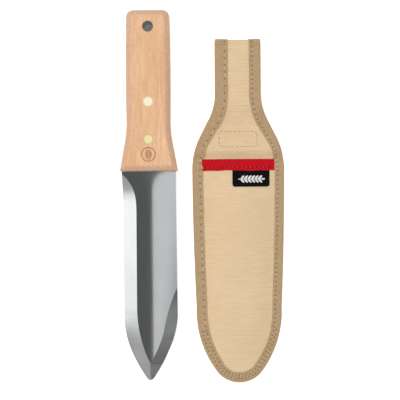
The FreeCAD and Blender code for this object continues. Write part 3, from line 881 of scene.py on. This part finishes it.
def front_face(across, along):
    """Height of the front panel's outer face: flat at its edge, domed over the pocket."""
    flat = TAPE + 2 * CANVAS
    foot = sheath_half(np.minimum(along, DOME_SHOULDER)) - DOME_EDGE
    share = np.clip(np.abs(across) / np.maximum(foot, 0.5), 0, 1)
    full = DOME_HEIGHT * smooth(DOME_START, DOME_FULL, along) * (1 - 0.5 * smooth(DOME_FALL, MOUTH, along))
    ripple = RIPPLE * np.sin(along * 0.17 + 1.3) * np.sin(across * 0.11 + along * 0.021)
    return flat + full * (1 - share ** 2.6) ** 1.6 + ripple * (1 - share ** 4)


# A folded tape: how round its fold is, and how many points its cross-section has.
FOLD_ROUND = 1.4
FOLD_POINTS = 9
FACE_POINTS = 18
BACK_POINTS = 12
BAND_STEP = 0.75


class Band:
    """A folded tape that wraps a cloth's raw edge, and a way to find places on it.

    edge is the raw edge's line in the middle of the cloth, out points away from the cloth and up is its normal.
    half is half the thickness of the bundle, tape included, at each point.
    """

    def __init__(self, edge, out, up, half, width):
        self.edge, self.out, self.up, self.half = edge, out, up, half
        self.width = np.broadcast_to(width, len(edge))
        self.run = run_along(edge)

    def seam(self, back):
        """Inset all along the tape of a seam that is sewn a little back from the tape's inner edge."""
        return self.width - back

    def at(self, run, inset_by, lift=0.0):
        """Points on the outer face at a run along the tape and an inset from its folded edge."""
        edge, out, up = (looked_up(run, self.run, table) for table in (self.edge, self.out, self.up))
        half = np.interp(run, self.run, self.half)
        inset_by = np.interp(run, self.run, np.broadcast_to(inset_by, len(self.run)))
        return edge - out * inset_by[:, None] + up * (half + lift)[:, None]

    @staticmethod
    def section(half, width):
        """The tape's own cross-section as inset and height, and whether each point is on the outer face."""
        fold = min(FOLD_ROUND, half)
        turns = np.linspace(math.pi / 2, -math.pi / 2, FOLD_POINTS)
        inner = half - TAPE
        outer = [(w, half) for w in np.linspace(width, fold, FACE_POINTS)]
        outer += [(fold * (1 - math.cos(turn)), half * math.sin(turn)) for turn in turns[1:-1]]
        outer += [(w, -half) for w in np.linspace(fold, width, BACK_POINTS)]
        lining = [(width, -inner), (fold, -inner), (TAPE * 0.8, 0.0), (fold, inner), (width, inner)]
        return outer + lining, len(outer)

    def make(self, name, seams, wobble=0.15):
        """The tape as a closed mesh, drawn in along its seams and dimpled at the holes."""
        rows, weave, holes, rims = [], [], [], []
        for index, run in enumerate(self.run):
            edge, out, up = self.edge[index], self.out[index], self.up[index]
            full = float(self.width[index])
            section, outer_count = self.section(float(self.half[index]), full)
            shift = wobble * (math.sin(run * 0.19) * 0.6 + math.sin(run * 0.47 + 1.0) * 0.4)
            row = []
            for number, (width, height) in enumerate(section):
                # hole is how near a needle hole the point lies, for the painted shade there.
                hole = 0.0
                pull = 0.0
                is_outer = number < outer_count
                for insets, places in seams if is_outer else ():
                    nearest = float(np.min(np.abs(places - run)))
                    reach = (width - insets[index]) ** 2
                    hole = max(hole, math.exp(-(reach + nearest ** 2) / 0.42))
                    pull = max(pull, math.exp(-reach / 1.1) * (0.10 + 0.14 * math.exp(-(nearest / 1.1) ** 2)))
                sign = 1 if height >= 0 else -1
                drift = shift if width > full - 0.1 else shift / 2
                inward = width + drift * (width > 1)
                row.append(edge - out * inward + up * (height - sign * pull))
                weave.append((run, width * sign, 0))
                holes.append(hole)
                rims.append(math.exp(-(width / 0.9) ** 2) if is_outer else 0.0)
            rows.append(row)
        thing = grid_object(name, np.array(rows), around=True, caps=True)
        note(thing, "weave", weave)
        note(thing, "hole", holes)
        note(thing, "rim", rims)
        return tidy(thing, sharp=CLOTH_SHARP, doubled=0)


STITCH_RINGS = 9
STITCH_SIDES = 8
THREAD = 0.42
FINE_THREAD = 0.36


def capsule(centre, along, up, length, radius, dip):
    """A stitch: rounded rows of points that rise over the middle and dip into the cloth at both ends."""
    side = np.cross(along, up)
    rows = []
    for share in np.linspace(-1, 1, STITCH_RINGS):
        girth = radius * math.sqrt(max(0.02, 1 - abs(share) ** 3))
        rise = -dip * share ** 2
        spot = centre + along * share * length / 2 + up * rise
        turns = full_turn(STITCH_SIDES)
        rows.append([spot + girth * (math.cos(turn) * side + 0.8 * math.sin(turn) * up) for turn in turns])
    return np.array(rows)


def sew(name, spots, ups, gap, radius=THREAD, dip=0.45):
    """One mesh of stitches between each two of the needle holes in spots."""
    points, faces = [], []
    for number, (start, end) in enumerate(zip(spots, spots[1:])):
        if np.linalg.norm(end - start) > gap * 1.6:
            continue
        along = (end - start) / np.linalg.norm(end - start)
        up = ups[number] - along * float(np.dot(ups[number], along))
        up = up / np.linalg.norm(up)
        rows = capsule((start + end) / 2, along, up, np.linalg.norm(end - start) * 0.92, radius, dip)
        add_tube(points, faces, rows)
    return tidy(new_object(name, points, faces), doubled=0)


# Sheath: cloth.

cloth = canvas("canvas")


def panel_grid(rows, columns, low, high, trim, surface):
    """A grid over the sheath's plan between two places, trimmed in from its edge."""
    grid = []
    for along in np.linspace(low, high, rows):
        half = max(0.4, float(sheath_half(along)) - trim)
        across = np.linspace(-half, half, columns)
        heights = surface(across, np.full(columns, along))
        grid.append([(SHEATH_X + x, along, z) for x, z in zip(across, heights)])
    return np.array(grid)


def make_panel(name, grid, node):
    """A canvas panel, thickened from its grid and put on the sheath."""
    thing = tidy(thicken(grid_object(name, grid), CANVAS), sharp=CLOTH_SHARP)
    put(thing, "sheath", cloth, [node])


back_grid = panel_grid(300, 31, TOE + PANEL_INSET, FOLD, PANEL_INSET,
                       lambda across, along: under_cloth(along) + CANVAS)
make_panel("back_cloth", back_grid, "back_panel")
front_grid = panel_grid(200, 61, TOE + PANEL_INSET, MOUTH, PANEL_INSET, front_face)
make_panel("front_cloth", front_grid, "front_panel")


def fold_line(radius, count=26):
    """The strap's line from the side, as y and z: over the top, then back below to its sewn end."""
    turns = np.linspace(math.pi / 2, -math.pi / 2, count)
    bend = [(FOLD + radius * math.cos(turn), FOLD_MIDDLE + radius * math.sin(turn)) for turn in turns]
    flat = [(along, FOLD_MIDDLE - radius) for along in np.linspace(FOLD, STRAP_END, 60)[1:]]
    return np.array(bend + flat)


def make_strap():
    """The stalk's cloth beyond the fold, down to its sewn end."""
    line = fold_line(FOLD_INNER + CANVAS)
    across = np.linspace(-STALK_HALF + PANEL_INSET, STALK_HALF - PANEL_INSET, 25)
    grid = np.array([[(SHEATH_X + x, y, z) for x in across] for y, z in line[::-1]])
    thing = grid_object("strap_cloth", grid[:, ::-1])
    solid = tidy(thicken(thing, CANVAS), sharp=CLOTH_SHARP)
    put(solid, "sheath", cloth, ["belt_strap"])


make_strap()

# Sheath: tape and stitches.

BINDING = dict(light=(196, 169, 133), dark=(176, 147, 111), edge=(184, 146, 104))
binding_look = tape("binding", **BINDING)
tan = thread("tan_thread", (222, 200, 168), (186, 158, 124))
TIP_SEAM_INSET = 3.2
TIP_SEAM_AT = -113.0
STITCH = 3.9
LONG_STITCH = 5.8
MOUTH_STITCH = 3.6
BOX_STITCH = 3.7
OFF_CENTRE = 0.5
SUNK = 0.12  # how far stitches lie in the tape


def edge_band():
    """The tape round the outline, from the fold down the right side, round the toe and up the left."""
    plan = resample(np.concatenate([sheath_side, mirrored(sheath_side)[1:]]), BAND_STEP)
    ways = directions(plan)
    out = np.stack([-ways[:, 1], ways[:, 0], 0 * ways[:, 0]], axis=1)
    along = plan[:, 1]
    cloths = 2 - smooth(MOUTH - 0.4, MOUTH + 1.6, along)
    low = under_cloth(along) - TAPE
    high = under_cloth(along) + CANVAS * cloths + TAPE
    edge = np.stack([SHEATH_X + plan[:, 0], along, (low + high) / 2], axis=1)
    # The tape is folded a little wider on the stalk, and a little off centre on the two sides of the pocket.
    skew = OFF_CENTRE * np.sign(-plan[:, 0]) * smooth(TOE, TOE + 40, along)
    width = TAPE_WIDTH + (STALK_TAPE_WIDTH - TAPE_WIDTH) * smooth(40.0, 72.0, along) + skew
    return Band(edge, out, upright(len(plan)), (high - low) / 2, width)


band = edge_band()


def run_at(along, side):
    """Run along the edge tape of a place on its right or left side."""
    half = len(band.run) // 2
    if side == "right":
        return float(np.interp(-along, -band.edge[:half, 1], band.run[:half]))
    return float(np.interp(along, band.edge[half:, 1], band.run[half:]))


tip_start, tip_end = run_at(TIP_SEAM_AT, "right"), run_at(TIP_SEAM_AT, "left")
edge_holes = np.concatenate([
    np.arange(2.0, tip_end, STITCH),
    np.arange(tip_end + 3.0, band.run[-1] - 2.0, LONG_STITCH),
])
tip_holes = np.arange(tip_start, tip_end, STITCH * 0.92)
tip_insets = np.full(len(band.run), TIP_SEAM_INSET)
binding = band.make("edge_tape", [(band.seam(SEAM_BACK), edge_holes), (tip_insets, tip_holes)])
put(binding, "sheath", binding_look, ["edge_binding"])


def sew_band(name, tape_band, holes, insets, gap, node):
    """A row of tan stitches on a tape, for a CAD node where there is one."""
    spots = tape_band.at(holes, insets, -SUNK)
    ups = looked_up(holes, tape_band.run, tape_band.up)
    put(sew(name, spots, ups, gap), "sheath", tan, [node] if node else ())


sew_band("edge_stitches", band, edge_holes, band.seam(SEAM_BACK), LONG_STITCH, "edge_thread")
sew_band("tip_stitches", band, tip_holes, tip_insets, STITCH, "tip_thread")


def make_strap_tape(side, name):
    """The tape along one side of the strap, round the fold and back below it."""
    line = resample(fold_line(FOLD_INNER + CANVAS / 2, 60), BAND_STEP)
    ways = directions(line)
    count = len(line)
    edge = np.stack([np.full(count, SHEATH_X + side * STALK_HALF), line[:, 0], line[:, 1]], axis=1)
    out = np.tile([float(side), 0.0, 0.0], (count, 1))
    up = np.stack([np.zeros(count), -ways[:, 1], ways[:, 0]], axis=1)
    width = STALK_TAPE_WIDTH - side * OFF_CENTRE
    strap_band = Band(edge, out, up, np.full(count, CANVAS / 2 + TAPE), width)
    holes = np.arange(2.0, strap_band.run[-1] - 2, STITCH)
    thing = strap_band.make(name, [(strap_band.seam(SEAM_BACK), holes)])
    put(thing, "sheath", binding_look, ["strap_binding"])
    sew_band(name + "_stitches", strap_band, holes, strap_band.seam(SEAM_BACK), STITCH, None)


make_strap_tape(1, "strap_tape_right")
make_strap_tape(-1, "strap_tape_left")

# Sheath: mouth, box seam and label.

MOUTH_TAPE_WIDTH = MOUTH + TAPE - cad("mouth_tape")[0][1]
MOUTH_SEAM_AT = 24.9
MOUTH_SEAM_INSET = MOUTH + TAPE - MOUTH_SEAM_AT
MOUTH_POINTS = 100


def make_mouth():
    """The red tape over the pocket's upper edge and its row of stitches."""
    reach = float(sheath_half(MOUTH)) - TAPE_WIDTH + 0.9
    across = np.linspace(-reach, reach, MOUTH_POINTS)
    face = front_face(across, np.full(MOUTH_POINTS, MOUTH))
    edge = np.stack([SHEATH_X + across, np.full(MOUTH_POINTS, MOUTH + TAPE), face - CANVAS / 2], axis=1)
    out = np.tile([0.0, 1.0, 0.0], (MOUTH_POINTS, 1))
    slope = np.gradient(face, across)
    up = np.stack([-slope, np.zeros(MOUTH_POINTS), np.ones(MOUTH_POINTS)], axis=1)
    up = up / np.linalg.norm(up, axis=1, keepdims=True)
    mouth = Band(edge, out, up, np.full(MOUTH_POINTS, CANVAS / 2 + TAPE), MOUTH_TAPE_WIDTH)
    holes = np.arange(3.0, mouth.run[-1] - 2, MOUTH_STITCH)
    # Its hole colour is painted shade at the needle holes.
    look = tape("red_tape", (212, 20, 36), (184, 12, 26), hole=(96, 4, 12))
    insets = np.full(len(mouth.run), MOUTH_SEAM_INSET)
    thing = mouth.make("mouth_tape_red", [(insets, holes)], wobble=0.3)
    put(thing, "sheath", look, ["mouth_tape"])
    spots = mouth.at(holes, MOUTH_SEAM_INSET, -0.15)
    stitches = sew("mouth_stitches", spots, upright(len(holes)), MOUTH_STITCH, radius=FINE_THREAD)
    look = thread("red_thread", (226, 74, 80), (190, 34, 46))
    put(stitches, "sheath", look, ["mouth_thread"])


make_mouth()


def make_box_seam():
    """The stitched rectangle that holds the strap's end."""
    margin = 0.3
    low, high = cad("loop_thread")
    (left, lower), (right, upper) = low[:2] + margin, high[:2] - margin
    corners = [(left, upper, 0), (right, upper, 0), (right, lower, 0), (left, lower, 0), (left, upper, 0)]
    line = resample(trace(corners, 1.0), BOX_STITCH)
    spots = np.stack([line[:, 0], line[:, 1], under_cloth(line[:, 1]) + CANVAS], axis=1)
    stitches = sew("box_stitches", spots, upright(len(spots)), BOX_STITCH, radius=FINE_THREAD)
    look = thread("grey_thread", (212, 188, 162), (182, 156, 132))
    put(stitches, "sheath", look, ["loop_thread"])


make_box_seam()

LABEL_LOW, LABEL_HIGH = cad("label")
LABEL_CORNER = 2.0
LABEL_TUCK = 0.9  # its upper edge is caught under the mouth tape
LABEL_THICK = 0.6
STEM = (-11.0, 8.6)
LEAF_PAIRS = 6
LEAF_PITCH = 3.0
FIRST_LEAF = -8.6
STROKE_RINGS = 9
STROKE_SIDES = 10
STROKE_HEIGHT = 0.16


def label_grid(rows, columns):
    """The label's face over the dome, with its two lower corners rounded."""
    grid = []
    for along in np.linspace(LABEL_LOW[1], LABEL_HIGH[1] + LABEL_TUCK, rows):
        short = max(0.0, LABEL_CORNER - (along - LABEL_LOW[1]))
        cut = LABEL_CORNER - math.sqrt(max(0.0, LABEL_CORNER ** 2 - short ** 2))
        across = np.linspace(LABEL_LOW[0] + cut, LABEL_HIGH[0] - cut, columns)
        face = front_face(across - SHEATH_X, np.full(columns, along)) + LABEL_THICK
        grid.append([(x, along, z) for x, z in zip(across, face)])
    return np.array(grid)


def make_label():
    """The black woven label with its sprig."""
    look = Look("label_cloth", Roughness=0.85, Specular_IOR_Level=0.12)
    weft = look.wave(look.position(0.02, 1, 0.02), "Y", 0.9, 0.3)
    warp = look.wave(look.position(1, 0.02, 0.02), "X", 0.9, 0.3)
    look.colour(look.blend(look.product(weft, warp), srgb(13, 12, 13), srgb(27, 26, 28)))
    look.bump(look.maths("ADD", weft, warp), 0.06)
    grid = label_grid(40, 80)
    label = tidy(thicken(grid_object("woven_label", grid), LABEL_THICK), sharp=CLOTH_SHARP)
    put(label, "sheath", look.material, ["label"])
    sprig = make_sprig()


def make_sprig():
    """A plain white sprig, raised a little from the label like a woven pattern."""
    centre = (LABEL_LOW + LABEL_HIGH) / 2
    stem = np.linspace(*STEM, 11)
    strokes = [((near, 0.0), (far + 0.3, 0.0), 0.42) for near, far in zip(stem, stem[1:])]
    for number in range(LEAF_PAIRS):
        root = FIRST_LEAF + LEAF_PITCH * number
        for side in (-1, 1):
            strokes.append(((root, 0.0), (root + 2.9, side * 3.0), 0.95))
    strokes.append(((STEM[1], 0.0), (11.8, 0.0), 0.9))
    points, faces = [], []
    for start, end, girth in strokes:
        spots = np.array([start, end]) + centre[:2]
        level = front_face(spots[:, 0] - SHEATH_X, spots[:, 1]) + LABEL_THICK + 0.06
        start, end = (np.array([x, y, z]) for (x, y), z in zip(spots, level))
        along = (end - start) / np.linalg.norm(end - start)
        side = np.cross([0.0, 0.0, 1.0], along)
        up = np.cross(along, side)
        rows = []
        for share in np.linspace(-1, 1, STROKE_RINGS):
            wide = girth * math.sqrt(max(0.02, 1 - abs(share) ** 2.2))
            spot = (start + end) / 2 + along * share * np.linalg.norm(end - start) / 2
            turns = full_turn(STROKE_SIDES)
            wides, highs = wide * np.cos(turns), STROKE_HEIGHT * np.sin(turns)
            rows.append([spot + w * side + h * up for w, h in zip(wides, highs)])
        add_tube(points, faces, np.array(rows))
    sprig = tidy(new_object("label_sprig", points, faces))
    return put(sprig, "sheath", thread("white_thread", (244, 243, 240), (226, 224, 220)))


make_label()
